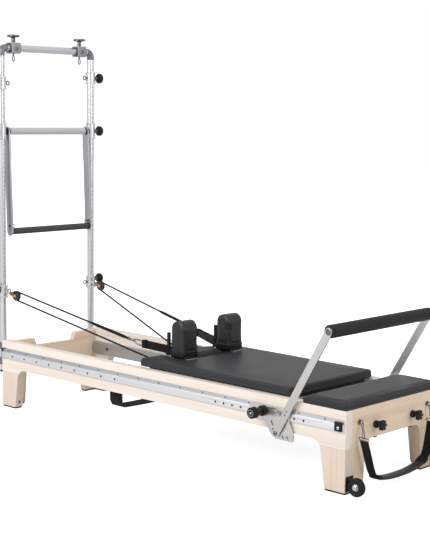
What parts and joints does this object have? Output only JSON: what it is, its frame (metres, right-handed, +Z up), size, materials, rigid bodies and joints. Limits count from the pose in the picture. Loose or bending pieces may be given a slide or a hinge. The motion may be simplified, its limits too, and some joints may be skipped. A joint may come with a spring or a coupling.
{
  "type": "pilates reformer",
  "caption": "Wooden pilates reformer with sliding carriage, footbar and half-trapeze tower with push-through bar, pulleys and ropes.",
  "frame": {"origin": "middle of the footprint, on the floor", "axes": "+X to the foot end along the frame, +Y to the left side, +Z up"},
  "size_m": [2.55, 0.92, 2.049],
  "materials": {
    "maple": "clear satin lacquer on pale maple",
    "rail_aluminium": "matt silver anodised extrusion",
    "tube_aluminium": "satin anodised tube",
    "polished_steel": "polished stainless plate",
    "spring_steel": "bright drawn spring wire",
    "upholstery": "fine-grained charcoal vinyl, semi-matt",
    "block_upholstery": "fine-grained black vinyl",
    "black_plastic": "moulded, fine texture",
    "black_rubber": "matt rubber",
    "black_grip": "dense foam sleeve, matt",
    "webbing": "woven nylon webbing",
    "rope": "braided polyester cord",
    "chassis": "black powder coat"
  },
  "bodies": {
    "frame": {"side_panel_left": "maple", "side_panel_right": "maple", "head_panel": "maple", "foot_panel": "maple", "foot_pad_head_left": "black_rubber", "foot_pad_head_right": "black_rubber", "foot_pad_foot_left": "black_rubber", "foot_pad_foot_right": "black_rubber", "outer_rail_left": "rail_aluminium", "outer_rail_right": "rail_aluminium", "inner_rail_left": "rail_aluminium", "inner_rail_right": "rail_aluminium", "foot_platform": "upholstery", "spring_bar": "polished_steel", "upright_left": "tube_aluminium", "upright_right": "tube_aluminium", "tower_top_bar": "tube_aluminium", "pulley_block_left": "tube_aluminium", "pulley_block_right": "tube_aluminium", "foot_strap": "webbing", "storage_sling": "webbing", "spring_1": "spring_steel", "spring_2": "spring_steel", "spring_3": "spring_steel", "spring_4": "spring_steel", "rope_left": "rope", "rope_right": "rope"},
    "carriage": {"carriage_chassis": "chassis", "carriage_pad": "upholstery", "shoulder_rest_left": "block_upholstery", "shoulder_rest_right": "block_upholstery", "hand_loop_left": "webbing", "hand_loop_right": "webbing"},
    "headrest": {"headrest_pad": "upholstery"},
    "footbar_base": {"footbar_mount_left": "polished_steel", "footbar_mount_right": "polished_steel"},
    "footbar": {"footbar_frame": "polished_steel", "footbar_grip": "block_upholstery"},
    "push_collars": {"push_collar_left": "tube_aluminium", "push_collar_right": "tube_aluminium"},
    "push_bar": {"push_bar_frame": "tube_aluminium", "push_bar_grip": "black_grip"},
    "carriage_wheel_head_left": {"carriage_wheel_head_left": "black_rubber"},
    "carriage_wheel_head_right": {"carriage_wheel_head_right": "black_rubber"},
    "carriage_wheel_foot_left": {"carriage_wheel_foot_left": "black_rubber"},
    "carriage_wheel_foot_right": {"carriage_wheel_foot_right": "black_rubber"},
    "footbar_plunger_left": {"footbar_plunger_left": "black_plastic"},
    "footbar_plunger_right": {"footbar_plunger_right": "black_plastic"},
    "upper_collar_left": {"upper_collar_left": "tube_aluminium"},
    "upper_collar_right": {"upper_collar_right": "tube_aluminium"},
    "top_slider_left": {"top_slider_left": "tube_aluminium"},
    "top_slider_right": {"top_slider_right": "tube_aluminium"},
    "slider_plunger_left": {"slider_plunger_left": "black_plastic"},
    "slider_plunger_right": {"slider_plunger_right": "black_plastic"},
    "pulley_sheave_left": {"pulley_sheave_left": "tube_aluminium"},
    "pulley_sheave_right": {"pulley_sheave_right": "tube_aluminium"},
    "star_knob_left": {"star_knob_left": "black_plastic"},
    "star_knob_right": {"star_knob_right": "black_plastic"},
    "transport_wheel_left": {"transport_wheel_left": "black_rubber"},
    "transport_wheel_right": {"transport_wheel_right": "black_rubber"}
  },
  "joints": [
    {"name": "carriage_slide", "type": "slide", "parent": "frame", "child": "carriage", "axis": [1, 0, 0], "range_m": [-0.72, 0], "stiffness_N_per_m": 300, "springref_m": 0.15, "deforming": ["spring_1", "spring_2", "spring_3", "spring_4", "rope_left", "rope_right"]},
    {"name": "carriage_wheel_head_left_spin", "type": "hinge", "parent": "carriage", "child": "carriage_wheel_head_left", "pos_m": [-0.046, 0.2905, 0.3253], "axis": [0, 1, 0], "range_deg": [-1480, 5]},
    {"name": "carriage_wheel_head_right_spin", "type": "hinge", "parent": "carriage", "child": "carriage_wheel_head_right", "pos_m": [-0.046, -0.2905, 0.3253], "axis": [0, 1, 0], "range_deg": [-1480, 5]},
    {"name": "carriage_wheel_foot_left_spin", "type": "hinge", "parent": "carriage", "child": "carriage_wheel_foot_left", "pos_m": [0.744, 0.2905, 0.3253], "axis": [0, 1, 0], "range_deg": [-1480, 5]},
    {"name": "carriage_wheel_foot_right_spin", "type": "hinge", "parent": "carriage", "child": "carriage_wheel_foot_right", "pos_m": [0.744, -0.2905, 0.3253], "axis": [0, 1, 0], "range_deg": [-1480, 5]},
    {"name": "headrest_tilt", "type": "hinge", "parent": "carriage", "child": "headrest", "pos_m": [0.0385, 0, 0.4195], "axis": [0, 1, 0], "range_deg": [0, 35]},
    {"name": "footbar_slide", "type": "slide", "parent": "frame", "child": "footbar_base", "axis": [1, 0, 0], "range_m": [-1.2, 0.2]},
    {"name": "footbar_swing", "type": "hinge", "parent": "footbar_base", "child": "footbar", "pos_m": [0.811, 0, 0.213], "axis": [0, 1, 0], "range_deg": [-40, 60]},
    {"name": "footbar_plunger_left_pull", "type": "slide", "parent": "footbar_base", "child": "footbar_plunger_left", "axis": [0, 1, 0], "range_m": [0, 0.008], "stiffness_N_per_m": 800, "springref_m": -0.004},
    {"name": "footbar_plunger_right_pull", "type": "slide", "parent": "footbar_base", "child": "footbar_plunger_right", "axis": [0, -1, 0], "range_m": [0, 0.008], "stiffness_N_per_m": 800, "springref_m": -0.004},
    {"name": "push_bar_lift", "type": "slide", "parent": "frame", "child": "push_collars", "axis": [0, 0, 1], "range_m": [-0.25, 0.15]},
    {"name": "push_bar_swing", "type": "hinge", "parent": "push_collars", "child": "push_bar", "pos_m": [-1.245, 0, 1.524], "axis": [0, 1, 0], "range_deg": [-120, 115]},
    {"name": "upper_collar_left_slide", "type": "slide", "parent": "frame", "child": "upper_collar_left", "axis": [0, 0, 1], "range_m": [-0.19, 0.05]},
    {"name": "upper_collar_right_slide", "type": "slide", "parent": "frame", "child": "upper_collar_right", "axis": [0, 0, 1], "range_m": [-0.15, 0.09]},
    {"name": "top_slider_left_slide", "type": "slide", "parent": "frame", "child": "top_slider_left", "axis": [0, 1, 0], "range_m": [-0.19, 0.015]},
    {"name": "slider_plunger_left_pull", "type": "slide", "parent": "top_slider_left", "child": "slider_plunger_left", "axis": [0, 0, 1], "range_m": [0, 0.01], "stiffness_N_per_m": 1000, "springref_m": -0.004},
    {"name": "top_slider_right_slide", "type": "slide", "parent": "frame", "child": "top_slider_right", "axis": [0, 1, 0], "range_m": [-0.015, 0.19]},
    {"name": "slider_plunger_right_pull", "type": "slide", "parent": "top_slider_right", "child": "slider_plunger_right", "axis": [0, 0, 1], "range_m": [0, 0.01], "stiffness_N_per_m": 1000, "springref_m": -0.004},
    {"name": "pulley_sheave_left_spin", "type": "hinge", "parent": "frame", "child": "pulley_sheave_left", "pos_m": [-1.14, 0.309, 0.6235], "axis": [0, 1, 0], "continuous": true},
    {"name": "star_knob_left_turn", "type": "hinge", "parent": "frame", "child": "star_knob_left", "pos_m": [1.184, 0.14, 0.281], "axis": [1, 0, 0], "continuous": true},
    {"name": "transport_wheel_left_spin", "type": "hinge", "parent": "frame", "child": "transport_wheel_left", "pos_m": [1.234, 0.333, 0.0425], "axis": [0, 1, 0], "continuous": true},
    {"name": "pulley_sheave_right_spin", "type": "hinge", "parent": "frame", "child": "pulley_sheave_right", "pos_m": [-1.14, -0.309, 0.6235], "axis": [0, 1, 0], "continuous": true},
    {"name": "star_knob_right_turn", "type": "hinge", "parent": "frame", "child": "star_knob_right", "pos_m": [1.184, -0.14, 0.281], "axis": [1, 0, 0], "continuous": true},
    {"name": "transport_wheel_right_spin", "type": "hinge", "parent": "frame", "child": "transport_wheel_right", "pos_m": [1.234, -0.333, 0.0425], "axis": [0, 1, 0], "continuous": true}
  ],
  "couplings": [
    {"joint": "carriage_wheel_head_left_spin", "follows": "carriage_slide", "rad_per_m": 35.714},
    {"joint": "carriage_wheel_head_right_spin", "follows": "carriage_slide", "rad_per_m": 35.714},
    {"joint": "carriage_wheel_foot_left_spin", "follows": "carriage_slide", "rad_per_m": 35.714},
    {"joint": "carriage_wheel_foot_right_spin", "follows": "carriage_slide", "rad_per_m": 35.714}
  ]
}
